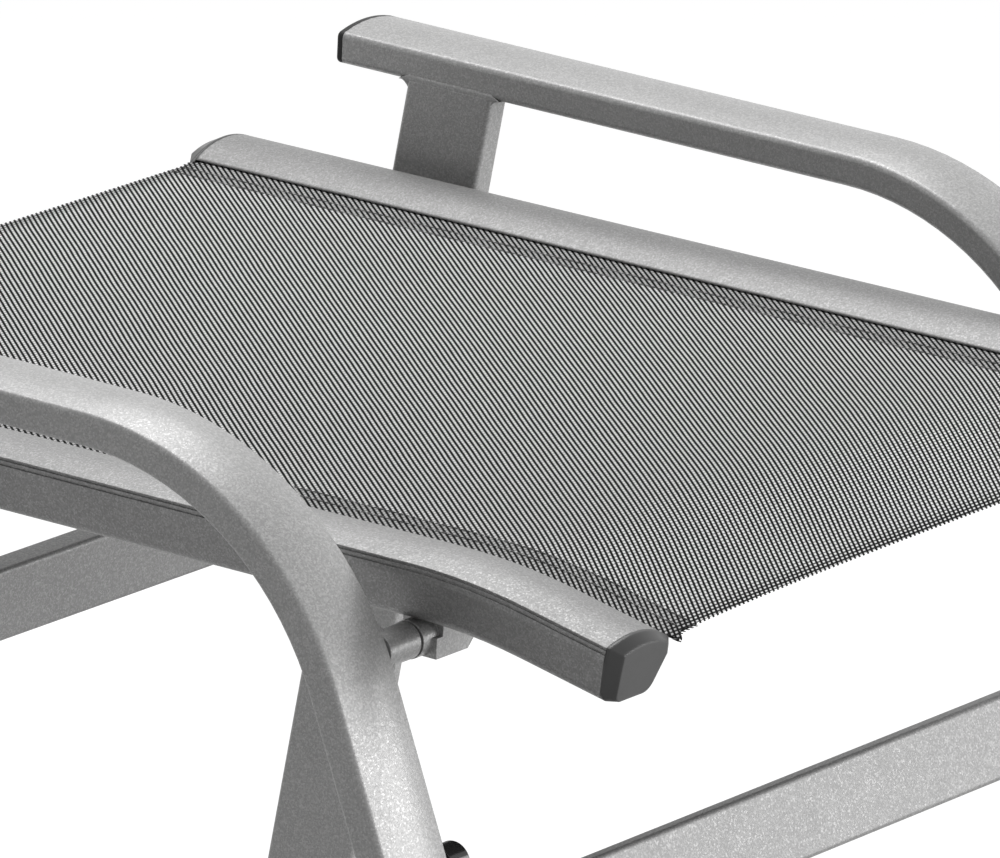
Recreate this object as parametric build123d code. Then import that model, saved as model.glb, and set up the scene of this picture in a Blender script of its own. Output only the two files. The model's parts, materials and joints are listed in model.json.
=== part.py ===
"""Backless stacking garden stool: a mesh sling between two seat rails, carried by two arched side frames.

Millimetres, +Z up, floor at Z = 0, front toward -Y. Right is -X, as for somebody who sits on the stool.
Right-hand pieces are modelled and mirrored. Y is drawn from a line across the seat, and on saving the whole part
is moved along Y so that the origin lies under the middle of its bounding box.
"""
import os
from math import asin, cos, degrees, radians, sin, tan

from build123d import *

os.makedirs("parts", exist_ok=True)

# Overall sizes
overall_width = 566.0
arm_top = 475.0
seat_drop = 48.8            # from the top of the arms to the crown of the rails
seat_pitch = 0.5            # degrees, the seat falls toward the rear

# Arch tubes: arm bar and front leg in one bend
arch_width = 40.0
arch_depth = 17.0
arch_wall = 1.8
arch_corner = 2.8
arch_bore_corner = 1.2
arch_crown = 3.2            # rise of the crowned outer face
arch_bend_radius = 145.0    # to the outer face
arm_bend_start = -58.0      # where the arm bar turns into the bend
arm_rear_end = 212.0
front_lean = 22.7           # degrees from upright

# Rear legs
rear_leg_width = 45.4
rear_leg_depth = 13.0
rear_leg_wall = 1.6
rear_leg_corner = 2.4
rear_leg_top_middle = 153.1  # middle of the leg where it meets the arm bar
rear_lean = 9.0             # degrees from upright
weld_leg = 4.5              # leg of the fillet weld under the arm bar
weld_bow_share = 0.42       # distance of the weld's face from both walls, as a share of its leg

# Crossbars
front_crossbar_height = 33.6
rear_crossbar_height = 32.4
crossbar_depth = 15.0
crossbar_wall = 1.5
crossbar_corner = 2.2
front_crossbar_drop = 197.2  # from the top of the arms to the middle of the crossbar
rear_crossbar_drop = 194.4

# Seat rails
rail_side_gap = 16.0        # from the leg's inner face to the rail
rail_width = 42.4
rail_height = 27.4
rail_wall = 1.8
rail_rear_end = 248.7
rail_front_end = 273.5      # toward the front
dip_start = 180.0           # toward the front
dip_radius = 270.0
dip_angle = 11.4            # degrees
groove_width = 0.9
groove_depth = 0.7
groove_pitch = 2.1
channel_radius = 4.0
channel_web = 1.6           # metal around the channel
slot_height = 2.2
slot_rise = 1.9             # middle of the slot above the middle of the channel

# Outline of the rail, outer side first: shares of its width and height
rail_outer_bottom_shares = (0.07, 0.0)
rail_outer_side_shares = (0.0, 0.68)
rail_outer_top_shares = (0.0, 0.89)
rail_crown_shares = (0.377, 1.0)
rail_inner_top_shares = (0.967, 0.73)
rail_inner_lip_shares = (1.0, 0.60)
rail_inner_bottom_shares = (0.80, 0.0)
rail_bottom_radii = (5.0, 9.0)  # outer and inner corner
channel_shares = (0.762, 0.665)

# Outline of the front face of a rail cap, in the same shares
nose_outer_bottom_shares = (0.11, 0.06)
nose_outer_side_shares = (0.10, 0.60)
nose_outer_top_shares = (0.10, 0.82)
nose_crown_shares = (0.42, 0.905)
nose_inner_top_shares = (0.79, 0.79)
nose_inner_lip_shares = (0.82, 0.60)
nose_inner_bottom_shares = (0.64, 0.06)
nose_bottom_radii = (3.5, 7.0)

# Rail caps
cap_collar = 1.5
cap_nose = 5.0
cap_plug = 16.0
plug_clearance = 0.3

# Arm caps
arm_cap_thickness = 3.5
arm_cap_round = 1.6

# Sling
sling_thickness = 1.0
sling_end_gap = 0.5         # between the ends of the sling and the rail caps
sling_edge_hollow = 3.0     # how far the free edges curve in
rod_radius = 2.6
fabric_gap = 0.3

# Seat joints: welded stub, washer, bracket and bolt on one axis
joint_drop = 35.2           # from the crown of the rails to the bolt axes
bracket_reach = 26.0        # across the seat
bracket_depth = 20.0
bracket_outer_edge = 11.0   # from the outer side of the rail
bracket_drop = 7.5          # metal below the bolt axis
bracket_chamfer = 5.0
bracket_notch_width = 4.0
bracket_notch_drop = 6.5    # below the underside of the rail
boss_diameter = 16.0
boss_length = 6.0
gap_washer_diameter = 13.0
gap_washer_thickness = 1.2
stub_diameter = 15.4
stub_blind = 3.0            # metal between the end of the thread and the leg
stub_weld_height = 4.6      # along the stub
stub_weld_run = 5.4         # along the leg
bolt_diameter = 6.0
bolt_clearance = 0.4
bolt_head_flats = 10.0
bolt_head_height = 4.0
bolt_tip_gap = 1.0          # short of the end of the thread
washer_diameter = 12.0
washer_thickness = 1.6

# Stacking buffers on the front legs
buffer_drop = 165.8         # from the top of the arms
buffer_diameter = 16.6
buffer_height = 11.6
buffer_rim = 2.2            # width of the ring around the screw head
buffer_recess = 3.0
buffer_edge = 0.8
screw_head_height = 4.4
screw_head_round = 3.8
screw_diameter = 5.0
screw_reach = 12.0          # into the leg, from its inner face
screw_fit = 0.1

# Feet
foot_height = 8.0
foot_plug = 22.0
foot_edge = 1.2
foot_lip = 0.8

overrun = 60.0

# Worked out from the sizes above
arch_outer_x = overall_width / 2
arch_inner_x = arch_outer_x - arch_width
arch_middle_x = arch_outer_x - arch_width / 2
seat_level = arm_top - seat_drop
joint_level = seat_level - joint_drop
buffer_level = arm_top - buffer_drop
front_crossbar_level = arm_top - front_crossbar_drop
rear_crossbar_level = arm_top - rear_crossbar_drop
arm_middle_level = arm_top - arch_depth / 2
arm_underside = arm_top - arch_depth
bend_middle_radius = arch_bend_radius - arch_depth / 2
bend_angle = 90.0 - front_lean
bend_centre_level = arm_top - arch_bend_radius
rail_outer_x = arch_inner_x - rail_side_gap
rail_inner_x = rail_outer_x - rail_width
rail_underside = seat_level - rail_height
channel_u = channel_shares[0] * rail_width
channel_v = channel_shares[1] * rail_height
sling_line = channel_v + slot_rise
rear_leg_middle_x = arch_inner_x + rear_leg_depth / 2


def front_leg_y(level, inward=0.0):
    """Line of the straight front leg at a height: its middle, or a distance toward the inside of the bend."""
    radius = bend_middle_radius - inward
    y_end = arm_bend_start - radius * sin(radians(bend_angle))
    z_end = bend_centre_level + radius * cos(radians(bend_angle))
    return y_end - (z_end - level) * tan(radians(front_lean))


def bend_y(level, inward=0.0):
    """The same line in the bend."""
    radius = bend_middle_radius - inward
    return arm_bend_start - (radius**2 - (level - bend_centre_level) ** 2) ** 0.5


def rear_leg_y(level):
    """Middle line of the rear leg at a height."""
    return rear_leg_top_middle + (arm_underside - level) * tan(radians(rear_lean))


def front_side_y(level):
    """Middle of the flat side face of the arch tube below the arm bar, on the bend or the straight leg."""
    inward = arch_crown / 2
    z_end = bend_centre_level + (bend_middle_radius - inward) * cos(radians(bend_angle))
    return bend_y(level, inward) if level > z_end else front_leg_y(level, inward)


made = {}


def save(name, shape):
    made[name] = shape


def save_pair(name, shape):
    """Right-hand piece as built, left-hand piece mirrored."""
    save(f"right_{name}", shape)
    save(f"left_{name}", mirrored(shape))


def mirrored(shape):
    return mirror(shape, about=Plane.YZ)


def slab(low, high):
    """Everything between two heights."""
    reach = overall_width + arm_top + overrun
    return Pos(0, 0, (low + high) / 2) * Box(reach, reach * 2, high - low)


def along_x(y, z, radius, x_from, x_to):
    """Cylinder along X between two places."""
    start = Plane(origin=(x_from, y, z), x_dir=(0, 1, 0), z_dir=(1, 0, 0))
    return extrude(start * Circle(radius), amount=x_to - x_from)


# Arch tubes

def crowned_section(width, depth, crown, corner):
    """Flat tube section, crowned on top."""
    left, right, low, high = -width / 2, width / 2, -depth / 2, depth / 2 - crown
    edges = [
        Line((left, high), (left, low)),
        Line((left, low), (right, low)),
        Line((right, low), (right, high)),
        ThreePointArc((right, high), (0, depth / 2), (left, high)),
    ]
    face = make_face(edges)
    return fillet(face.vertices(), corner)


arch_outer_section = crowned_section(arch_width, arch_depth, arch_crown, arch_corner)
arch_inner_section = crowned_section(
    arch_width - 2 * arch_wall, arch_depth - 2 * arch_wall, arch_crown, arch_bore_corner
)
arm_end_plane = Plane(
    origin=(-arch_middle_x, arm_rear_end, arm_middle_level), x_dir=(1, 0, 0), z_dir=(0, -1, 0)
)


def arch_path():
    """Middle line of the arch tube, from the rear end of the arm bar to below the floor."""
    with BuildLine(Plane.YZ.offset(-arch_middle_x)) as route:
        Line((arm_rear_end, arm_middle_level), (arm_bend_start, arm_middle_level))
        JernArc(
            start=(arm_bend_start, arm_middle_level),
            tangent=(-1, 0),
            radius=bend_middle_radius,
            arc_size=bend_angle,
        )
        low = -overrun
        end = (front_leg_y(low), low)
        Line(route.line @ 1, end)
    return route.wires()[0]


def arch_bar(section):
    """A section swept along the whole arch, running on below the floor."""
    return sweep(arm_end_plane * section, path=arch_path())


def front_leg_bar(section):
    """A section along the straight front leg, from the end of the bend to below the floor."""
    top = bend_centre_level
    start = Plane(
        origin=(-arch_middle_x, front_leg_y(top), top),
        x_dir=(1, 0, 0),
        z_dir=(0, -sin(radians(front_lean)), -cos(radians(front_lean))),
    )
    return extrude(start * section, amount=(top + overrun) / cos(radians(front_lean)))


joint_front = (front_side_y(joint_level), joint_level)
joint_rear = (rear_leg_y(joint_level), joint_level)
buffer_place = (front_side_y(buffer_level), buffer_level)
screw_hole_radius = screw_diameter / 2 + screw_fit


def leg_hole(place, radius, depth):
    """Hole from the inner face of a leg."""
    return along_x(*place, radius, -arch_inner_x - depth, -arch_inner_x + screw_fit)


arch_tube = arch_bar(arch_outer_section) - arch_bar(arch_inner_section)
arch_tube &= slab(foot_height, arm_top + overrun)
arch_tube -= leg_hole(buffer_place, screw_hole_radius, screw_reach)
save_pair("arch_tube", arch_tube)

# Arm caps

arm_cap_plane = arm_end_plane.offset(-arm_cap_thickness)
arm_cap = extrude(arm_cap_plane * arch_outer_section, amount=arm_cap_thickness)
arm_cap = fillet(arm_cap.edges().group_by(Axis.Y)[-1], arm_cap_round)
arm_plug_section = crowned_section(
    arch_width - 2 * (arch_wall + plug_clearance),
    arch_depth - 2 * (arch_wall + plug_clearance),
    arch_crown,
    arch_bore_corner,
)
arm_cap += extrude(arm_end_plane * arm_plug_section, amount=cap_plug)
save_pair("arm_cap", arm_cap)

# Rear legs

rear_axis = (0, sin(radians(rear_lean)), -cos(radians(rear_lean)))
rear_start_level = arm_top + overrun
rear_start = Plane(
    origin=(-rear_leg_middle_x, rear_leg_y(rear_start_level), rear_start_level),
    x_dir=(1, 0, 0),
    z_dir=rear_axis,
)
rear_reach = (rear_start_level + overrun) / cos(radians(rear_lean))


def rear_bar(inset, corner):
    """Rear leg section, drawn in by an inset, along the whole leg line."""
    section = RectangleRounded(rear_leg_depth - 2 * inset, rear_leg_width - 2 * inset, corner)
    return extrude(rear_start * section, amount=rear_reach)


def weld_fillet(side):
    """Concave fillet weld between one edge of the rear leg and the underside of the arm bar."""
    edge = rear_leg_width / 2 / cos(radians(rear_lean))
    near = rear_leg_y(arm_underside) + side * (edge - rear_leg_corner / 2)
    far = rear_leg_y(arm_underside) + side * (edge + weld_leg)
    low = rear_leg_y(arm_underside - weld_leg) + side * (edge - rear_leg_corner / 2)
    bow = weld_leg * weld_bow_share
    middle = (low + side * bow, arm_underside - bow)
    outline = [
        Line((near, arm_underside), (far, arm_underside)),
        ThreePointArc((far, arm_underside), middle, (low, arm_underside - weld_leg)),
        Line((low, arm_underside - weld_leg), (near, arm_underside)),
    ]
    face = Plane.YZ.offset(-rear_leg_middle_x) * make_face(outline)
    return extrude(face, amount=rear_leg_depth / 2 - rear_leg_corner / 2, both=True)


below_arm = slab(foot_height, arm_underside)
rear_leg = (rear_bar(0, rear_leg_corner) & below_arm) + weld_fillet(1) + weld_fillet(-1)
rear_leg -= rear_bar(rear_leg_wall, rear_leg_corner - rear_leg_wall / 2)
save_pair("rear_leg", rear_leg)

# Feet: a plug in the tube and a flat sole that follows the slant of the leg

sole = slab(0, foot_height)
plug_zone = slab(foot_height, foot_height + foot_plug)


def foot(body, plug):
    shape = body & sole
    shape = fillet(shape.edges().group_by(Axis.Z)[0], foot_edge)
    return shape + (plug & plug_zone)


arch_foot_section = crowned_section(
    arch_width + 2 * foot_lip, arch_depth + 2 * foot_lip, arch_crown, arch_corner + foot_lip
)
save_pair("front_foot", foot(front_leg_bar(arch_foot_section), front_leg_bar(arm_plug_section)))
rear_foot_body = rear_bar(-foot_lip, rear_leg_corner + foot_lip)
rear_foot_plug = rear_bar(rear_leg_wall + plug_clearance, rear_leg_corner - rear_leg_wall / 2)
save_pair("rear_foot", foot(rear_foot_body, rear_foot_plug))

# Crossbars

def crossbar(height, y, level, lean):
    """Flat tube between the inner faces of two legs."""
    outer = RectangleRounded(crossbar_depth, height, crossbar_corner)
    inner = RectangleRounded(
        crossbar_depth - 2 * crossbar_wall, height - 2 * crossbar_wall, crossbar_corner - crossbar_wall / 2
    )
    place = Plane(
        origin=(-arch_inner_x, y, level),
        x_dir=(0, cos(radians(lean)), -sin(radians(lean))),
        z_dir=(1, 0, 0),
    )
    return extrude(place * (outer - inner), amount=2 * arch_inner_x)


front_bar_y = front_leg_y(front_crossbar_level) - (arch_depth - crossbar_depth) / 2
save("front_crossbar", crossbar(front_crossbar_height, front_bar_y, front_crossbar_level, front_lean))
save("rear_crossbar", crossbar(rear_crossbar_height, rear_leg_y(rear_crossbar_level), rear_crossbar_level, 0))

# Seat rails: drawn level, then pitched about the middle of the seat

seat_axis = Axis((0, 0, seat_level), (1, 0, 0))


def pitched(shape):
    return shape.rotate(seat_axis, -seat_pitch)


def rail_point(shares):
    return shares[0] * rail_width, shares[1] * rail_height


def profile(outer_bottom, outer_side, outer_top, crown, inner_top, inner_lip, inner_bottom, bottom_radii):
    """Closed outline from seven points given as shares, with rounded bottom corners."""
    face = make_face(
        [
            Line(rail_point(outer_bottom), rail_point(outer_side)),
            Line(rail_point(outer_side), rail_point(outer_top)),
            ThreePointArc(rail_point(outer_top), rail_point(crown), rail_point(inner_top)),
            Line(rail_point(inner_top), rail_point(inner_lip)),
            Line(rail_point(inner_lip), rail_point(inner_bottom)),
            Line(rail_point(inner_bottom), rail_point(outer_bottom)),
        ]
    )
    face = fillet(face.vertices().group_by(Axis.Y)[0].sort_by(Axis.X)[0], bottom_radii[0])
    return fillet(face.vertices().group_by(Axis.Y)[0].sort_by(Axis.X)[-1], bottom_radii[1])


def rail_outline():
    """Outer shape of the rail profile without its grooves, slot and channel."""
    return profile(
        rail_outer_bottom_shares,
        rail_outer_side_shares,
        rail_outer_top_shares,
        rail_crown_shares,
        rail_inner_top_shares,
        rail_inner_lip_shares,
        rail_inner_bottom_shares,
        rail_bottom_radii,
    )


def nose_outline():
    """Front face of a rail cap."""
    return profile(
        nose_outer_bottom_shares,
        nose_outer_side_shares,
        nose_outer_top_shares,
        nose_crown_shares,
        nose_inner_top_shares,
        nose_inner_lip_shares,
        nose_inner_bottom_shares,
        nose_bottom_radii,
    )


def chamber_face(inset):
    """Hollow of the rail, beside and below the sling channel."""
    extra = inset - rail_wall
    web = channel_radius + channel_web + extra
    face = offset(rail_outline(), -inset, kind=Kind.INTERSECTION)
    face -= Pos(channel_u, channel_v) * Circle(web)
    solid_side = 2 * (rail_width - channel_u)
    low = channel_v - channel_radius
    solid_zone = Pos(channel_u + solid_side / 2, low - extra + rail_height / 2) * Rectangle(solid_side, rail_height)
    face -= solid_zone
    solid_top = Pos(channel_u, channel_v + rail_height / 2) * Rectangle(2 * web, rail_height)
    return face - solid_top


def groove(index):
    level = rail_point(rail_outer_top_shares)[1] - groove_pitch * index - groove_width
    return Pos(0, level) * Rectangle(2 * groove_depth, groove_width)


def rail_section():
    face = rail_outline() - chamber_face(rail_wall)
    face -= Pos(channel_u, channel_v) * Circle(channel_radius)
    slot_length = 2 * (rail_width - channel_u)
    face -= Pos(channel_u + slot_length / 2, sling_line) * Rectangle(slot_length, slot_height)
    return face - groove(0) - groove(1)


def seat_path(across):
    """Underside of the rail in side view, from its rear end to its front end."""
    level = rail_underside
    with BuildLine(Plane.YZ.offset(across)) as route:
        Line((rail_rear_end, level), (-dip_start, level))
        JernArc(start=(-dip_start, level), tangent=(-1, 0), radius=dip_radius, arc_size=dip_angle)
        run = (rail_front_end - dip_start - dip_radius * sin(radians(dip_angle))) / cos(radians(dip_angle))
        Line(route.line @ 1, route.line @ 1 + (route.line % 1) * run)
    return route.wires()[0]


rail_rear_plane = Plane(origin=(-rail_outer_x, rail_rear_end, rail_underside), x_dir=(1, 0, 0), z_dir=(0, -1, 0))


def along_rail(section):
    return sweep(rail_rear_plane * section, path=seat_path(-rail_outer_x))


seat_rail = along_rail(rail_section())
save_pair("seat_rail", pitched(seat_rail))

# Sling rods

rod = along_rail(Pos(channel_u, channel_v) * Circle(rod_radius))
save_pair("sling_rod", pitched(rod))

# Rail caps: collar, bevelled nose and a plug in the chamber of the rail

rail_tip = seat_path(0) @ 1
rail_heading = seat_path(0) % 1
rail_front_plane = Plane(
    origin=(-rail_outer_x, rail_tip.Y, rail_tip.Z), x_dir=(1, 0, 0), z_dir=(0, rail_heading.Y, rail_heading.Z)
)


def rail_cap(plane, outward):
    """Cap on a rail end; the plane's normal points along the rail toward the front."""
    body = extrude(plane * rail_outline(), amount=outward * cap_collar)
    base = plane.offset(outward * cap_collar) * rail_outline()
    tip = plane.offset(outward * (cap_collar + cap_nose)) * nose_outline()
    body += loft([base, tip], ruled=True)
    plug = extrude(plane * chamber_face(rail_wall + plug_clearance), amount=-outward * cap_plug)
    return body + plug


save_pair("front_rail_cap", pitched(rail_cap(rail_front_plane, 1)))
save_pair("rear_rail_cap", pitched(rail_cap(rail_rear_plane, -1)))

# Sling: the stretched sheet from rod to rod, with hollow free edges

sling_half_width = rail_outer_x - channel_u - rod_radius - fabric_gap
sheet_low = rail_rear_plane * Pos(rail_outer_x, sling_line) * Rectangle(2 * sling_half_width, sling_thickness)
sling = sweep(sheet_low, path=seat_path(0))


def hollow_cutter(y_edge, toward_front):
    """Everything beyond a free edge of the sling, which curves in at the middle."""
    beyond = y_edge + toward_front * overrun
    inside = y_edge - toward_front * sling_edge_hollow
    outline = [
        ThreePointArc((-rail_inner_x, y_edge), (0, inside), (rail_inner_x, y_edge)),
        Line((rail_inner_x, y_edge), (rail_inner_x, beyond)),
        Line((rail_inner_x, beyond), (-rail_inner_x, beyond)),
        Line((-rail_inner_x, beyond), (-rail_inner_x, y_edge)),
    ]
    return extrude(make_face(outline), amount=arm_top)


sling_box = sling.bounding_box()
sling -= hollow_cutter(sling_box.min.Y + sling_end_gap, -1)
sling -= hollow_cutter(sling_box.max.Y - sling_end_gap, 1)
save("sling", pitched(sling))

# Seat brackets: a block welded under the rail, with a round boss toward the leg

bracket_outer_x = -rail_outer_x + bracket_outer_edge
bracket_inner_x = bracket_outer_x + bracket_reach
boss_outer_x = bracket_outer_x - boss_length
rail_envelope = pitched(along_rail(rail_outline()))


def bracket(place):
    y, level = place
    low = level - bracket_drop
    high = seat_level
    notch_low = rail_underside - bracket_notch_drop
    outline = Polyline(
        (bracket_outer_x, low),
        (bracket_inner_x - bracket_chamfer, low),
        (bracket_inner_x, low + bracket_chamfer),
        (bracket_inner_x, high - rail_height / 2),
        (bracket_outer_x + bracket_notch_width, high - rail_height / 2),
        (bracket_outer_x + bracket_notch_width, notch_low),
        (bracket_outer_x, notch_low),
        close=True,
    )
    block = extrude(Plane.XZ.offset(-y) * make_face(outline), amount=bracket_depth / 2, both=True)
    block += along_x(y, level, boss_diameter / 2, boss_outer_x, bracket_outer_x + bracket_notch_width)
    block -= rail_envelope
    bore = (bolt_diameter + bolt_clearance) / 2
    return block - along_x(y, level, bore, boss_outer_x - overrun, bracket_inner_x + overrun)


save_pair("front_seat_bracket", bracket(joint_front))
save_pair("rear_seat_bracket", bracket(joint_rear))

# Seat joints: everything on the bolt axes

gap_washer_x = boss_outer_x - gap_washer_thickness
bolt_end_x = -arch_inner_x + stub_blind + bolt_tip_gap
bolt_head_x = bracket_inner_x + washer_thickness
front_joint_lean = max(front_lean, degrees(asin((joint_level - bend_centre_level) / bend_middle_radius)))
arch_side_flat = arch_depth - arch_crown - 2 * arch_corner
rear_side_flat = rear_leg_width - 2 * rear_leg_corner


def seat_stub(place, lean, flat):
    """Threaded stub on the inner face of a leg, with a weld along the leg as wide as the flat of that face."""
    y, level = place
    base = Plane(origin=(-arch_inner_x, y, level), x_dir=(0, 1, 0), z_dir=(1, 0, 0))
    foot_radius = stub_diameter / 2 + stub_weld_run
    lift = Pos(0, 0, stub_weld_height / 2)
    weld = base * lift * Cone(foot_radius, stub_diameter / 2, stub_weld_height)
    weld &= base * lift * Rot(0, 0, -lean) * Box(flat, 2 * foot_radius, stub_weld_height)
    body = along_x(y, level, stub_diameter / 2, -arch_inner_x, gap_washer_x) + weld
    return body - along_x(y, level, bolt_diameter / 2, -arch_inner_x + stub_blind, gap_washer_x + overrun)


save_pair("front_seat_stub", seat_stub(joint_front, front_joint_lean, arch_side_flat))
save_pair("rear_seat_stub", seat_stub(joint_rear, -rear_lean, rear_side_flat))


def ring(place, outer, inner, x_from, x_to):
    return along_x(*place, outer / 2, x_from, x_to) - along_x(*place, inner / 2, x_from - overrun, x_to + overrun)


def seat_bolt(place):
    y, level = place
    shank = along_x(y, level, bolt_diameter / 2, bolt_end_x, bolt_head_x)
    shank = chamfer(shank.edges().group_by(Axis.X)[0], bolt_clearance)
    start = Plane(origin=(bolt_head_x, y, level), x_dir=(0, 1, 0), z_dir=(1, 0, 0))
    hexagon = RegularPolygon(bolt_head_flats / 2, 6, major_radius=False)
    head = extrude(start * hexagon, amount=bolt_head_height)
    cone_radius = bolt_head_flats / 2 / cos(radians(30))
    dome = along_x(y, level, cone_radius, bolt_head_x, bolt_head_x + bolt_head_height)
    dome = chamfer(dome.edges().group_by(Axis.X)[-1], cone_radius - bolt_head_flats / 2)
    return shank + (head & dome)


def four(right_front, right_rear):
    """Group of the four joints from the two on the right."""
    return Compound([right_front, mirrored(right_front), right_rear, mirrored(right_rear)])


def four_rings(outer, inner, x_from, x_to):
    return four(ring(joint_front, outer, inner, x_from, x_to), ring(joint_rear, outer, inner, x_from, x_to))


bolt_bore = bolt_diameter + bolt_clearance
save("gap_washers", four_rings(gap_washer_diameter, bolt_bore, gap_washer_x, boss_outer_x))
save("bolt_washers", four_rings(washer_diameter, bolt_bore, bracket_inner_x, bolt_head_x))
save("seat_bolts", four(seat_bolt(joint_front), seat_bolt(joint_rear)))

# Stacking buffers: a ring with a domed screw

buffer_top_x = -arch_inner_x + buffer_height
buffer_seat_x = buffer_top_x - buffer_recess
head_radius = buffer_diameter / 2 - buffer_rim - screw_fit

stacking_buffer = along_x(*buffer_place, buffer_diameter / 2, -arch_inner_x, buffer_top_x)
stacking_buffer = fillet(stacking_buffer.edges().group_by(Axis.X)[-1], buffer_edge)
stacking_buffer -= along_x(*buffer_place, head_radius + screw_fit, buffer_seat_x, buffer_top_x + overrun)
stacking_buffer -= along_x(*buffer_place, screw_hole_radius, -arch_inner_x - overrun, buffer_seat_x)
save_pair("stacking_buffer", stacking_buffer)

screw_head = along_x(*buffer_place, head_radius, buffer_seat_x, buffer_seat_x + screw_head_height)
screw_head = fillet(screw_head.edges().group_by(Axis.X)[-1], screw_head_round)
screw = screw_head + along_x(*buffer_place, screw_diameter / 2, -arch_inner_x - screw_reach, buffer_seat_x)
save("buffer_screws", Compound([screw, mirrored(screw)]))

# The origin lies under the middle of the bounding box

boxes = [shape.bounding_box() for shape in made.values()]
front_most = min(box.min.Y for box in boxes)
rear_most = max(box.max.Y for box in boxes)
for name, shape in made.items():
    placed = Pos(0, -(front_most + rear_most) / 2, 0) * shape
    placed.label = name
    export_step(placed, f"parts/{name}.step")
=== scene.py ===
"""Stacking garden stool in a plain studio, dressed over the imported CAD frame.

Metres, +Z up, floor at Z = 0, front toward -Y.
"""
import json
import math
from bisect import bisect_right

import bpy
from mathutils import Matrix, Vector


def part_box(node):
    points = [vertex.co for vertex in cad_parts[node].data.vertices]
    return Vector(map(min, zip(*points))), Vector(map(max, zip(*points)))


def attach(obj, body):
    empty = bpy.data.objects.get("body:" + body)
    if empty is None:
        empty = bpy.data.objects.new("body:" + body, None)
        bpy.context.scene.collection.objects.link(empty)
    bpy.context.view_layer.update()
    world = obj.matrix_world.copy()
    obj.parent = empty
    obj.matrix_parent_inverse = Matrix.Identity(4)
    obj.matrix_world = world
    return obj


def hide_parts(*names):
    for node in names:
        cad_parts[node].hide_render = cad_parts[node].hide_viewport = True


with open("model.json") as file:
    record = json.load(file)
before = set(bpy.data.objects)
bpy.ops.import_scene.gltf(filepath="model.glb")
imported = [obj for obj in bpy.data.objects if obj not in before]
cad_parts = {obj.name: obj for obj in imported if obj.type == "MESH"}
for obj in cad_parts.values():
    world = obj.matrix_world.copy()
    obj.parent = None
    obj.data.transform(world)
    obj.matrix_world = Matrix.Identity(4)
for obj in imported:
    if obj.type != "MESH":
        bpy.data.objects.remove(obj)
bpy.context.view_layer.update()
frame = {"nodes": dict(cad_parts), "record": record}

nodes = frame["nodes"]
slots = {part["node"]: part["material_slot"] for part in frame["record"]["subparts"]}
scene = bpy.context.scene
scene.view_settings.view_transform = "Standard"


# Shader helpers

def put(tree, value, socket):
    """Link the value to the socket if it is a node's output, and set it otherwise."""
    if isinstance(value, bpy.types.NodeSocket):
        tree.links.new(value, socket)
    else:
        socket.default_value = value


def add_node(tree, kind, inputs=None):
    """A new shader node with its inputs, by name or number, set or linked."""
    node = tree.nodes.new("ShaderNode" + kind)
    for key, value in (inputs or {}).items():
        put(tree, value, node.inputs[key])
    return node


def blend(tree, factor, first, second):
    """The first shader where the factor is 0, the second where it is 1."""
    return add_node(tree, "MixShader", {0: factor, 1: first, 2: second}).outputs[0]


def grey(value, warm=0.0):
    """A grey with its red raised and its blue lowered by the share warm."""
    return (value * (1 + warm), value, value * (1 - warm), 1.0)


class Shade:
    """A material with short calls for its nodes."""

    INPUTS = {"color": "Base Color", "metallic": "Metallic", "roughness": "Roughness", "normal": "Normal",
              "specular": "Specular IOR Level"}

    def __init__(self, name):
        self.mat = bpy.data.materials.new(name)
        self.mat.use_nodes = True
        self.tree = self.mat.node_tree
        self.tree.nodes.clear()
        self.out = add_node(self.tree, "OutputMaterial")
        self.bsdf = add_node(self.tree, "BsdfPrincipled")
        self.surface(self.bsdf.outputs[0])
        self.coords = add_node(self.tree, "TexCoord").outputs["Object"]

    def surface(self, shader):
        self.tree.links.new(shader, self.out.inputs["Surface"])

    def set(self, **values):
        for key, value in values.items():
            put(self.tree, value, self.bsdf.inputs[self.INPUTS[key]])

    def math(self, kind, a, b=0.0):
        node = add_node(self.tree, "Math", {0: a, 1: b})
        node.operation = kind
        return node.outputs[0]

    def noise(self, scale, detail, roughness=0.5):
        inputs = {"Vector": self.coords, "Scale": scale, "Detail": detail, "Roughness": roughness}
        return add_node(self.tree, "TexNoise", inputs).outputs["Fac"]

    def cells(self, scale):
        """A chance colour for each of many small cells."""
        return add_node(self.tree, "TexVoronoi", {"Vector": self.coords, "Scale": scale}).outputs["Color"]

    def ramp(self, value, low, high, to_low=0.0, to_high=1.0):
        inputs = {"Value": value, "From Min": low, "From Max": high, "To Min": to_low, "To Max": to_high}
        return add_node(self.tree, "MapRange", inputs).outputs["Result"]

    def patches(self, scale, detail, low=0.0, high=1.0, spread=0.20):
        """Soft patches between two values. A smaller spread makes their edges harder."""
        return self.ramp(self.noise(scale, detail), 0.5 - spread, 0.5 + spread, low, high)

    def wander(self, scale, detail, reach):
        """A smooth chance offset around zero."""
        return self.math("MULTIPLY", self.math("SUBTRACT", self.noise(scale, detail), 0.5), reach)

    def mix(self, factor, a, b):
        """Colour a where the factor is 0, colour b where it is 1."""
        node = self.tree.nodes.new("ShaderNodeMix")
        node.data_type = "RGBA"
        for key, value in (("Factor", factor), (6, a), (7, b)):
            put(self.tree, value, node.inputs[key])
        return node.outputs[2]

    def bump(self, height, distance, strength, normal=None):
        inputs = {"Height": height, "Distance": distance, "Strength": strength}
        if normal is not None:
            inputs["Normal"] = normal
        return add_node(self.tree, "Bump", inputs).outputs["Normal"]

    def soft_edges(self, radius):
        """Normals rounded off at the edges, as paint or a mould rounds them."""
        node = add_node(self.tree, "Bevel", {"Radius": radius})
        node.samples = 6
        return node.outputs["Normal"]

    def split(self, vector):
        node = add_node(self.tree, "SeparateXYZ", {0: vector})
        return node.outputs["X"], node.outputs["Y"], node.outputs["Z"]


# Materials of the frame, the caps and the fittings

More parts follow.
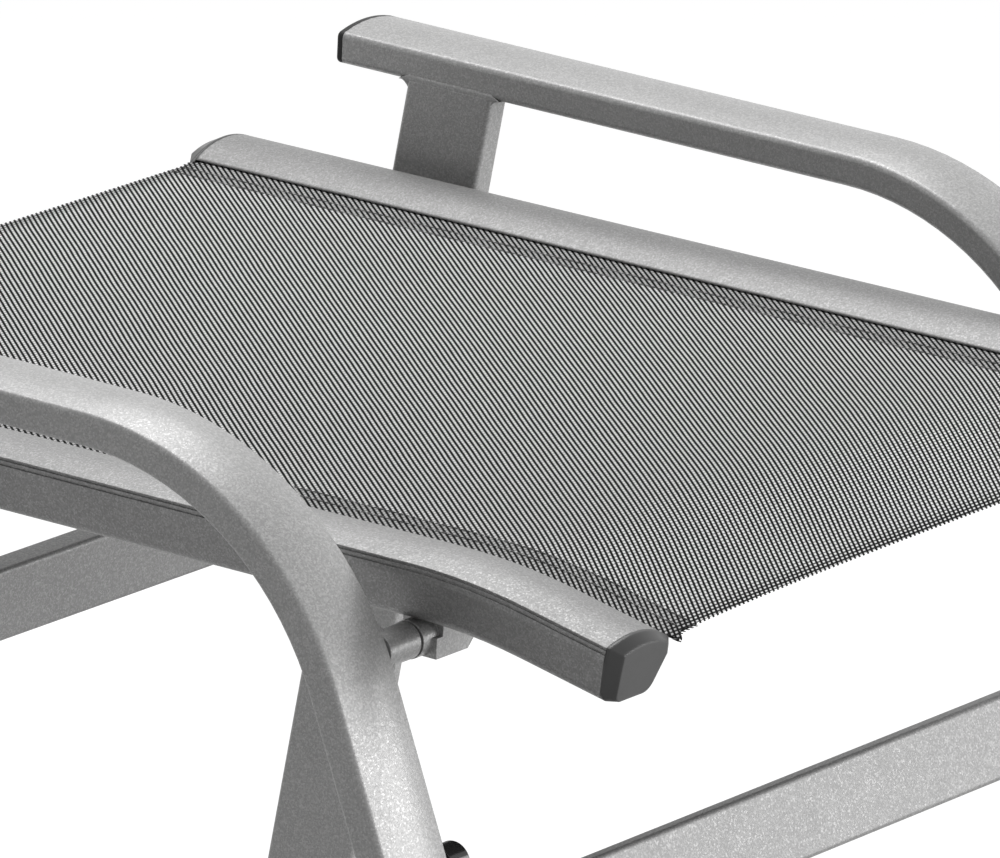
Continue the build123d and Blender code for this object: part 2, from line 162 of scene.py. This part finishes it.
PAINT_EDGE = 0.0005         # how far paint rounds an edge off
MOULD_EDGE = 0.0006
CAP_EDGE = 0.0016
LIP_EDGE = 0.0020           # on the inner lip of the seat rails
LIP_REACH = (0.188, 0.195)  # from the stool's middle: where the lip's edge ends and the plain one begins
FLAKE_DEPTH = 0.00004
PEEL_DEPTH = 0.00012        # height of the orange peel
GRAIN_DEPTH = 0.00005       # height of a mould's spark-eroded grain
RUBBER_GRAIN_DEPTH = 0.00003
TOOL_MARK_DEPTH = 0.00004
PAINT_WARMTH = 0.004
STEEL_WARMTH = 0.01
HARD_SPREAD = 0.15          # of patches with harder edges

# Patches, flakes, bumps and marks to the metre
COAT_CLOUDS = 38.0
COAT_SHEEN = 90.0
COAT_PEEL = 620.0
COAT_FLAKES = 1450.0
MOULD_CLOUDS = 55.0
MOULD_SHEEN = 120.0
MOULD_GRAIN = 1500.0
RUBBER_GRAIN = 1100.0
STEEL_SPOTS = 260.0
STEEL_SHEEN = 420.0
TOOL_MARKS = 1300.0


def powder_coat(name, level, metallic=0.30, roughness=0.42, lip=False):
    """Silver powder coat: soft orange peel and metal flakes, the brightest of them a little smoother."""
    s = Shade(name)
    edge = PAINT_EDGE
    if lip:
        across = s.math("ABSOLUTE", s.split(s.coords)[0])
        edge = s.ramp(across, *LIP_REACH, LIP_EDGE, PAINT_EDGE)
    flake = s.split(s.cells(COAT_FLAKES))[0]
    cloud = s.patches(COAT_CLOUDS, 4.0, 0.0, 0.10, HARD_SPREAD)
    grain = s.math("ADD", s.math("MULTIPLY", s.math("POWER", flake, 1.6), 0.90), cloud)
    dull = grey(level * 0.82, PAINT_WARMTH)
    bright = grey(min(1.0, level * 1.26), PAINT_WARMTH)
    s.set(color=s.mix(grain, dull, bright), metallic=metallic)
    rough = s.patches(COAT_SHEEN, 3.0, roughness - 0.01, roughness + 0.01)
    glint = s.math("MULTIPLY", s.ramp(flake, 0.86, 0.94), 0.10)
    s.set(roughness=s.math("SUBTRACT", rough, glint))
    peel = s.bump(s.noise(COAT_PEEL, 3.0), PEEL_DEPTH, 0.55, s.soft_edges(edge))
    s.set(normal=s.bump(flake, FLAKE_DEPTH, 0.25, peel))
    return s.mat


def moulded(name, level, roughness, grain=MOULD_GRAIN, depth=GRAIN_DEPTH, edge=MOULD_EDGE, specular=0.5):
    """Moulded plastic or rubber with a fine grain and slightly uneven colour and gloss."""
    s = Shade(name)
    cloud = s.patches(MOULD_CLOUDS, 3.0, spread=HARD_SPREAD)
    s.set(color=s.mix(cloud, grey(level * 0.92), grey(level * 1.10)), specular=specular)
    s.set(roughness=s.patches(MOULD_SHEEN, 3.0, roughness - 0.04, roughness + 0.08))
    s.set(normal=s.bump(s.noise(grain, 4.0, 0.6), depth, 0.6, s.soft_edges(edge)))
    return s.mat


def plated_steel(name, level, roughness):
    """Zinc plated steel with light spots and fine marks of the tool."""
    s = Shade(name)
    spots = s.ramp(s.noise(STEEL_SPOTS, 4.0), 0.40, 0.62)
    dull = grey(level * 0.85, STEEL_WARMTH)
    bright = grey(level * 1.08, STEEL_WARMTH)
    s.set(color=s.mix(spots, dull, bright), metallic=1.0)
    s.set(roughness=s.patches(STEEL_SHEEN, 3.0, roughness - 0.06, roughness + 0.10))
    s.set(normal=s.bump(s.noise(TOOL_MARKS, 2.0), TOOL_MARK_DEPTH, 0.5))
    return s.mat


finishes = {
    "frame_coat": powder_coat("frame_coat", level=0.40),
    "rail_coat": powder_coat("rail_coat", level=0.26, metallic=0.54, roughness=0.50, lip=True),
    "bracket_coat": powder_coat("bracket_coat", level=0.38),
    "cap_plastic": moulded("cap_plastic", level=0.033, roughness=0.32, edge=CAP_EDGE),
    "foot_plastic": moulded("foot_plastic", level=0.045, roughness=0.55),
    "rod_plastic": moulded("rod_plastic", level=0.06, roughness=0.45),
    "washer_plastic": moulded("washer_plastic", level=0.015, roughness=0.55),
    "buffer_rubber": moulded("buffer_rubber", level=0.020, roughness=0.16, grain=RUBBER_GRAIN,
                             depth=RUBBER_GRAIN_DEPTH),
    "fastener_steel": plated_steel("fastener_steel", level=0.55, roughness=0.28),
}
# Painted shade: a darker copy of the frame's coat for the crossbars, also rougher and less metallic
shaded_bar_coat = powder_coat("shaded_bar_coat", level=0.28, metallic=0.36, roughness=0.50)
arm_cap_plastic = moulded("arm_cap_plastic", level=0.018, roughness=0.50, specular=0.25)

for name, obj in nodes.items():
    if slots[name] not in finishes:
        continue
    finish = finishes[slots[name]]
    # the crossbars take the darker copy of the frame's coat, which is painted shade
    if "crossbar" in name:
        finish = shaded_bar_coat
    if "arm_cap" in name:
        finish = arm_cap_plastic
    obj.data.materials.clear()
    obj.data.materials.append(finish)


# Mesh helpers

def add_piece(name, verts, faces, material, smooth=False):
    mesh = bpy.data.meshes.new(name)
    mesh.from_pydata(verts, [], faces)
    mesh.polygons.foreach_set("use_smooth", [smooth] * len(faces))
    mesh.materials.append(material)
    piece = bpy.data.objects.new(name, mesh)
    scene.collection.objects.link(piece)
    return piece


def ring_faces(base, rows, ring):
    """Quads between the rings of a closed tube whose points start at base."""
    faces = []
    for row in range(rows):
        for k in range(ring):
            a = base + row * ring + k
            b = base + row * ring + (k + 1) % ring
            faces.append((a, b, b + ring, a + ring))
    return faces


# Sling: one stretched sheet, folded round the rods and sewn into pockets

# Weave
WEFT = 0.00208              # pitch of the cross threads
REPEAT = 0.00300            # pitch of the light floats along a cross thread
STAGGER = 0.00184           # shift of the floats from one cross thread to the next
FLOAT_LENGTH = 0.00152      # across the seat
FLOAT_LEAN_SHARE = 0.90     # of the stagger, by which each float itself leans
FLOAT_END_SHARES = (0.86, 1.10)  # of half a float, where its light yarn fades out
RIBS = 3                    # dark long threads in each repeat
ROW_GAP_SHARES = (0.52, 0.86)    # of half a pitch, where the gap between two cross threads opens
ROW_GAP_DEPTH = 0.72
EDGE_ROWS = 0.011           # this near to a free edge those gaps are wider and deeper
EDGE_GAP_WIDER = 0.22
EDGE_GAP_DEPTH = 0.98
THREAD_STRAY = 0.00035      # how far single threads wander sideways
THREAD_BENDS = 420.0        # to the metre
CLOTH_SWAY = 0.0014         # how far whole bands of them wander
CLOTH_BENDS = 16.0
YARN_TONES = 240.0          # patches of uneven brightness to the metre
LIGHT_YARN = 0.94
DARK_YARN = (0.006, 0.008)  # beside a long thread and on it; the darker value is painted shade in the grooves between the threads
POCKET_PAINTED_SHADE = 0.30         # painted shade: how much darker the light threads are painted in the pocket bands beside the rails, where the cloth lies double
WEAVE_DEPTH = 0.00025
FRINGE = 0.0010
FRINGE_FADE = 0.0003
FRINGE_GAP = 0.28           # half the width of a gap in the fringe, as a share of the repeat

# Cross section
SEAM_INNER = 0.1677         # the two rows of stitches, from the middle of the seat
SEAM_OUTER = 0.1760
POCKET_END = 0.1655
TOP_LIFT = 0.00045          # upper layer above the middle of the slot
LOWER_DROP = 0.00055
WRAP_RADIUS = 0.0031
ROD_DROP = 0.0019           # middle of the rod below the middle of the slot
TOP_SHARE = 0.96            # of the rod's distance from the middle: the end of the evenly spaced points
TOP_STEPS = 60
WRAP_STEPS = 16
POCKET_STEPS = 10

# Line along the rails
LINE_STEPS = 400
STEPS_BEYOND = 12           # further steps, beyond each end of the rails
FACET_HALF = 0.010          # half the length over which the CAD's facets are smoothed
FACET_SAMPLES = 4           # to each side
SAME_PLACE = 0.0005         # points closer than this belong to one cross line of the CAD sheet
SIDE_BAND = 0.001           # the CAD sheet's side points lie in a band of this width
REAR_RUN = 0.1              # runs whose slope continues beyond the ends
FRONT_RUN = 0.03
END_GAP = 0.0005            # from the CAD sheet's corners to the rail ends

# Free edges
SHEET_ROWS = 230
TAB_INNER = 0.1775          # from the middle of the seat: where a tab begins to rise
TAB_OUTER = 0.1865          # and where it ends, as the cloth turns round the rod
TAB_DROOP = 18.0            # how fast the front tabs curl down beyond the rail ends
WRAP_INSET = 0.0006         # round the rod the cloth stops short of the rail ends
HOLLOW_POWER = 2.5          # how late the hollow of a free edge turns up
REAR_EDGE = (-0.0015, -0.0008, 0.0018)   # beyond the rail ends: in the middle, beside a tab, on the tab
FRONT_EDGE = (-0.0022, 0.0016, 0.0080)

rail_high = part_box("right_seat_rail")[1]
sling_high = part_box("sling")[1]
rod_low, rod_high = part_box("left_sling_rod")
rod_x = (rod_low.x + rod_high.x) / 2


def sling_material():
    """Twill of light cross threads floating over dark long ones, cut to a short fringe at the free edges."""
    s = Shade("sling_mesh")
    cloth = add_node(s.tree, "Attribute")
    cloth.attribute_name = "cloth"
    across, along, edge = s.split(cloth.outputs["Vector"])

    # Place in the row of a cross thread, and in the repeat of its floats
    rows = s.math("DIVIDE", along, WEFT)
    row = s.math("FLOOR", rows)
    off_middle = s.math("SUBTRACT", s.math("SUBTRACT", rows, row), 0.5)
    fine = s.wander(THREAD_BENDS, 1.0, THREAD_STRAY)
    sway = s.wander(CLOTH_BENDS, 2.0, CLOTH_SWAY)
    lean = s.math("MULTIPLY", off_middle, FLOAT_LEAN_SHARE)
    stepped = s.math("MULTIPLY", s.math("ADD", row, lean), STAGGER)
    shifted = s.math("ADD", s.math("ADD", across, s.math("ADD", fine, sway)), stepped)
    in_repeat = s.math("FRACT", s.math("DIVIDE", shifted, REPEAT))
    aside = s.math("ABSOLUTE", s.math("SUBTRACT", in_repeat, 0.5))

    # How much of the light yarn shows
    off_float = s.math("MULTIPLY", aside, 2 * REPEAT / FLOAT_LENGTH)
    run = s.ramp(off_float, *FLOAT_END_SHARES, 1.0, 0.0)
    off_row = s.math("MULTIPLY", s.math("ABSOLUTE", off_middle), 2.0)
    apart = s.ramp(edge, EDGE_ROWS / 3, EDGE_ROWS, EDGE_GAP_WIDER, 0.0)
    between = s.ramp(s.math("ADD", off_row, apart), *ROW_GAP_SHARES)
    depth = s.ramp(edge, EDGE_ROWS / 3, EDGE_ROWS, EDGE_GAP_DEPTH, ROW_GAP_DEPTH)
    on_row = s.math("SUBTRACT", 1.0, s.math("MULTIPLY", between, depth))
    whole = s.ramp(edge, FRINGE, FRINGE + FRINGE_FADE)
    light = s.math("MULTIPLY", s.math("MULTIPLY", run, on_row), whole)

    # Colours of the two yarns
    strand = s.math("FRACT", s.math("DIVIDE", shifted, REPEAT / RIBS))
    rib = s.math("SINE", s.math("MULTIPLY", strand, math.pi))
    tone = s.patches(YARN_TONES, 3.0, 0.90, 1.08)
    # Painted shade: the light threads are painted darker over the pocket bands beside the rails, where the
    # cloth lies double
    doubled = s.math("GREATER_THAN", s.math("ABSOLUTE", across), SEAM_INNER)
    shade = s.math("SUBTRACT", 1.0, s.math("MULTIPLY", doubled, POCKET_PAINTED_SHADE))
    pale = s.mix(s.math("MULTIPLY", tone, shade), grey(0.0), grey(LIGHT_YARN))
    # Painted shade: each long thread is painted darker at its sides than on its crown
    dark = s.mix(rib, grey(DARK_YARN[0]), grey(DARK_YARN[1]))
    s.set(color=s.mix(light, dark, pale), roughness=0.60, specular=0.02)
    height = s.math("ADD", s.math("MULTIPLY", light, 0.8), s.math("MULTIPLY", rib, 0.2))
    s.set(normal=s.bump(height, WEAVE_DEPTH, 0.6))

    # Gaps between the yarn ends of the fringe
    gap = s.math("MULTIPLY", s.math("LESS_THAN", edge, FRINGE), s.math("LESS_THAN", aside, FRINGE_GAP))
    clear = add_node(s.tree, "BsdfTransparent").outputs[0]
    s.surface(blend(s.tree, gap, s.bsdf.outputs[0], clear))
    return s.mat


def cad_side_line():
    """Side view of the CAD sheet's middle from rear to front, as (distance toward the front, z)."""
    side = [v.co for v in nodes["sling"].data.vertices if v.co.x > sling_high.x - SIDE_BAND]
    points = sorted((-co.y, co.z) for co in side)
    groups = [[points[0]]]
    for point in points[1:]:
        if point[0] - groups[-1][0][0] < SAME_PLACE:
            groups[-1].append(point)
        else:
            groups.append([point])
    return [(sum(q[0] for q in g) / len(g), sum(q[1] for q in g) / len(g)) for g in groups]


def seat_line():
    """The middle of the rails' slot from rear to front as (length along it, y, z), and the rails' length."""
    cad = cad_side_line()
    start, stop = cad[0][0], cad[-1][0]

    def level(t):
        t = min(max(t, start), stop)
        for a, b in zip(cad, cad[1:]):
            if t <= b[0]:
                return a[1] + (b[1] - a[1]) * (t - a[0]) / (b[0] - a[0])
        return cad[-1][1]

    rear_slope = (level(start + REAR_RUN) - level(start)) / REAR_RUN
    front_slope = (level(stop) - level(stop - FRONT_RUN)) / FRONT_RUN

    def height(t):
        """The CAD's height with smoothed facets, beyond its ends straight on, and at the front drooping."""
        if t <= start:
            return level(start) + rear_slope * (t - start)
        if t >= stop:
            return level(stop) + front_slope * (t - stop) - TAB_DROOP * (t - stop) ** 2
        reach = min(FACET_HALF, t - start, stop - t)
        samples = range(-FACET_SAMPLES, FACET_SAMPLES + 1)
        return sum(level(t + reach * k / FACET_SAMPLES) for k in samples) / len(samples)

    line = []
    length = 0.0
    for i in range(-STEPS_BEYOND, LINE_STEPS + STEPS_BEYOND + 1):
        t = start + (stop - start) * i / LINE_STEPS
        y, z = -t, height(t)
        if line:
            length += math.dist(line[-1][1:], (y, z))
        line.append((length, y, z))
    zero = line[STEPS_BEYOND][0] - END_GAP
    full = line[-1 - STEPS_BEYOND][0] - zero + END_GAP
    return [(a - zero, y, z) for a, y, z in line], full


def half_section():
    """Half of the sheet's cross section: (x, height above the slot's middle, length along the cloth)."""
    points = [(i * rod_x * TOP_SHARE / TOP_STEPS, TOP_LIFT) for i in range(TOP_STEPS + 1)]
    first = math.asin((TOP_LIFT + ROD_DROP) / WRAP_RADIUS)
    last = math.asin((ROD_DROP - LOWER_DROP) / WRAP_RADIUS)
    for k in range(WRAP_STEPS + 1):
        angle = math.pi - first - (2 * math.pi - first + last) * k / WRAP_STEPS
        points.append((rod_x + WRAP_RADIUS * math.cos(angle), -ROD_DROP + WRAP_RADIUS * math.sin(angle)))
    back = points[-1][0]
    for k in range(1, POCKET_STEPS + 1):
        points.append((back + (POCKET_END - back) * k / POCKET_STEPS, -LOWER_DROP))
    section = [(*points[0], 0.0)]
    for before, point in zip(points, points[1:]):
        section.append((*point, section[-1][2] + math.dist(before, point)))
    return section


slot_line, sheet_length = seat_line()
slot_lengths = [a for a, y, z in slot_line]
half = half_section()


def seat_at(a):
    """The slot's middle at a length along the rails: y, z and the direction up from the seat, as (y, z)."""
    k = min(max(bisect_right(slot_lengths, a) - 1, 0), len(slot_line) - 2)
    a0, y0, z0 = slot_line[k]
    a1, y1, z1 = slot_line[k + 1]
    f = (a - a0) / (a1 - a0)
    run, rise = y1 - y0, z1 - z0
    size = math.hypot(run, rise)
    return y0 + run * f, z0 + rise * f, (rise / size, -run / size)


def free_edge(x, middle, shoulder, tab):
    """How far a free edge lies beyond the rail ends: hollow in the middle, with a tab at each pocket."""
    x = abs(x)
    if x > TAB_OUTER:
        return -WRAP_INSET
    if x > TAB_INNER:
        return shoulder + (tab - shoulder) * (x - TAB_INNER) / (TAB_OUTER - TAB_INNER)
    return middle + (shoulder - middle) * (x / TAB_INNER) ** HOLLOW_POWER


def make_sling():
    section = [(-x, h, -a) for x, h, a in reversed(half[1:])] + half
    verts, cloth, faces = [], [], []
    for x, h, across in section:
        rear = -free_edge(x, *REAR_EDGE)
        front = sheet_length + free_edge(x, *FRONT_EDGE)
        for k in range(SHEET_ROWS + 1):
            a = rear + (front - rear) * k / SHEET_ROWS
            y, z, up = seat_at(a)
            verts.append((x, y + up[0] * h, z + up[1] * h))
            cloth += (across, a, min(a - rear, front - a))
    for i in range(len(section) - 1):
        for k in range(SHEET_ROWS):
            a = i * (SHEET_ROWS + 1) + k
            b = a + SHEET_ROWS + 1
            faces.append((a, b, b + 1, a + 1))
    sheet = add_piece("sling_sheet", verts, faces, sling_material(), smooth=True)
    sheet.data.attributes.new("cloth", "FLOAT_VECTOR", "POINT").data.foreach_set("vector", cloth)
    return sheet


sling_sheet = make_sling()
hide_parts("sling")
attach(sling_sheet, "root")


# Seams of the pockets

STITCH_PITCH = 0.0031
STITCH_LENGTH = 0.0026
STITCH_SHARES = ((0.0, 0.35), (0.18, 0.95), (0.5, 1.0), (0.82, 0.95), (1.0, 0.35))  # of length and radius
STITCH_SUNK_SHARE = 0.2     # of the thread's radius: how high its middle lies at the ends of a stitch
THREAD_RADIUS = 0.00028
THREAD_SIDES = 6
THREAD_TWISTS = 2600.0      # to the metre
SEAM_MARGIN = 0.002         # from the ends of the rails


def thread_material():
    s = Shade("seam_thread")
    twist = s.patches(THREAD_TWISTS, 2.0, spread=HARD_SPREAD)
    s.set(color=s.mix(twist, grey(0.08), grey(0.18)), roughness=0.5)
    return s.mat


def stitch(x, start):
    """Points of one short raised thread, ring by ring."""
    verts = []
    for f, share in STITCH_SHARES:
        y, z, up = seat_at(start + STITCH_LENGTH * f)
        raised = STITCH_SUNK_SHARE + (1 - STITCH_SUNK_SHARE) * math.sin(math.pi * f)
        lift = TOP_LIFT + THREAD_RADIUS * raised
        for k in range(THREAD_SIDES):
            t = 2 * math.pi * k / THREAD_SIDES
            out = THREAD_RADIUS * share * math.cos(t)
            h = lift + THREAD_RADIUS * share * math.sin(t)
            verts.append((x + out, y + up[0] * h, z + up[1] * h))
    return verts


def make_seams():
    """Two rows of lockstitches along each pocket."""
    count = int((sheet_length - 2 * SEAM_MARGIN) / STITCH_PITCH)
    verts, faces = [], []
    for x in (-SEAM_INNER, -SEAM_OUTER, SEAM_OUTER, SEAM_INNER):
        for n in range(count):
            faces += ring_faces(len(verts), len(STITCH_SHARES) - 1, THREAD_SIDES)
            verts += stitch(x, SEAM_MARGIN + n * STITCH_PITCH)
    return add_piece("sling_seams", verts, faces, thread_material(), smooth=True)


sling_seams = make_seams()
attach(sling_seams, "root")


# Ground welds between the rear legs and the arm bars: the CAD has a sharp groove beside the tube's corner

GROOVE = 0.0028             # corner radius of the arch tube
GROOVE_STEPS = 8
WELD_RUN = 0.0045           # the ends taper off under the arm
WELD_TIP_SHARE = 0.02       # of the weld's depth, at its ends
TOP_BAND = 0.0002           # the leg's top points lie in a band of this height


def make_weld(side):
    leg = side + "_rear_leg"
    leg_low, leg_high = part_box(leg)
    sign = 1 if leg_low.x > 0 else -1
    face = min(abs(leg_low.x), abs(leg_high.x))
    under = leg_high.z
    top = [v.co.y for v in nodes[leg].data.vertices if v.co.z > under - TOP_BAND]
    start, stop = min(top), max(top)
    outline = [(0.0, 0.0)]
    for k in range(GROOVE_STEPS + 1):
        angle = math.pi / 2 * k / GROOVE_STEPS
        outline.append((GROOVE * (1 - math.cos(angle)), GROOVE * (1 - math.sin(angle))))
    tip = WELD_TIP_SHARE
    stations = [(start, tip), (start + WELD_RUN, 1.0), (stop - WELD_RUN, 1.0), (stop, tip)]
    verts = [(sign * (face + dx), y, under + dz * share) for y, share in stations for dx, dz in outline]
    ring = len(outline)
    first_end = tuple(range(ring))
    last_end = tuple(range(len(verts) - ring, len(verts)))
    faces = ring_faces(0, len(stations) - 1, ring) + [first_end[::-1], last_end]
    if sign < 0:
        faces = [corners[::-1] for corners in faces]
    weld = add_piece(side + "_arm_weld", verts, faces, finishes["frame_coat"])
    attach(weld, "root")


make_weld("left")
make_weld("right")


# Studio

WHITE = (1, 1, 1, 1)
WORLD_LIGHT = 0.18
FLOOR_GREY = 0.20
FLOOR_GLOW = 0.93
FLOOR_SIZE = 14.0


def area_light(name, place, target, size, power):
    lamp = bpy.data.lights.new(name, "AREA")
    lamp.shape = "RECTANGLE"
    lamp.size, lamp.size_y = size
    lamp.energy = power
    obj = bpy.data.objects.new(name, lamp)
    scene.collection.objects.link(obj)
    obj.location = place
    obj.rotation_euler = (Vector(target) - Vector(place)).to_track_quat("-Z", "Y").to_euler()


def seen_directly(tree):
    """1 for the rays that show the backdrop: from the camera, through glass or off a glossy surface."""
    path = add_node(tree, "LightPath")
    seen = path.outputs["Is Camera Ray"]
    for kind in ("Is Transmission Ray", "Is Glossy Ray"):
        either = add_node(tree, "Math", {0: seen, 1: path.outputs[kind]})
        either.operation = "MAXIMUM"
        seen = either.outputs[0]
    return seen


def make_world():
    """Dim light from all round, which is plain white where it is seen."""
    world = bpy.data.worlds.new("studio")
    world.use_nodes = True
    tree = world.node_tree
    tree.nodes.clear()
    lit = add_node(tree, "Background", {"Color": WHITE, "Strength": WORLD_LIGHT}).outputs[0]
    white = add_node(tree, "Background", {"Color": WHITE, "Strength": 1.0}).outputs[0]
    add_node(tree, "OutputWorld", {"Surface": blend(tree, seen_directly(tree), lit, white)})
    scene.world = world


def floor_material():
    """Grey for the light that it throws back, and close to white where it is seen."""
    s = Shade("floor")
    s.set(color=grey(FLOOR_GREY), roughness=0.9, specular=0.0)
    plain = s.bsdf.outputs[0]
    glow = add_node(s.tree, "Emission", {"Color": WHITE, "Strength": FLOOR_GLOW}).outputs[0]
    bright = add_node(s.tree, "AddShader", {0: plain, 1: glow}).outputs[0]
    s.surface(blend(s.tree, seen_directly(s.tree), plain, bright))
    return s.mat


def make_floor():
    bpy.ops.mesh.primitive_plane_add(size=FLOOR_SIZE, location=(0, 0, 0))
    floor = bpy.context.object
    floor.name = "floor"
    floor.data.materials.append(floor_material())
    return floor


area_light("top_light", place=(0.45, 0.55, 1.80), target=(0, 0, 0.4), size=(1.1, 1.1), power=17.5)
area_light("front_light", place=(1.1, -2.4, 0.70), target=(0, 0, 0.35), size=(3.0, 1.1), power=60.0)
make_world()
floor = make_floor()


# Camera, fitted to the photograph's tube edges

LENS = 467.32               # millimetres, as the sensor's width is
SENSOR_WIDTH = 36.0
CLIP_RANGE = (0.1, 60.0)
FIT_HEIGHT = 0.417          # the fit's origin above the floor
FIT_RAIL_END = 0.24893      # y of the rails' rear ends in the fit's axes
FIT_PLACE = (-4.17008, -3.06784, 1.56732)
CAMERA_SIDE = (0.5957145, -0.8019568, 0.0446034)
CAMERA_UP = (0.2107325, 0.2096418, 0.9547995)
CAMERA_BACK = (-0.7750587, -0.5593885, 0.2938851)


def make_camera():
    data = bpy.data.cameras.new("camera")
    data.sensor_fit = "HORIZONTAL"
    data.sensor_width = SENSOR_WIDTH
    data.lens = LENS
    data.clip_start, data.clip_end = CLIP_RANGE
    camera = bpy.data.objects.new("camera", data)
    scene.collection.objects.link(camera)
    x, y, z = FIT_PLACE
    place = (x, y + (rail_high.y - FIT_RAIL_END), z + FIT_HEIGHT)
    camera.matrix_world = Matrix((*zip(CAMERA_SIDE, CAMERA_UP, CAMERA_BACK, place), (0, 0, 0, 1)))
    scene.camera = camera


make_camera()
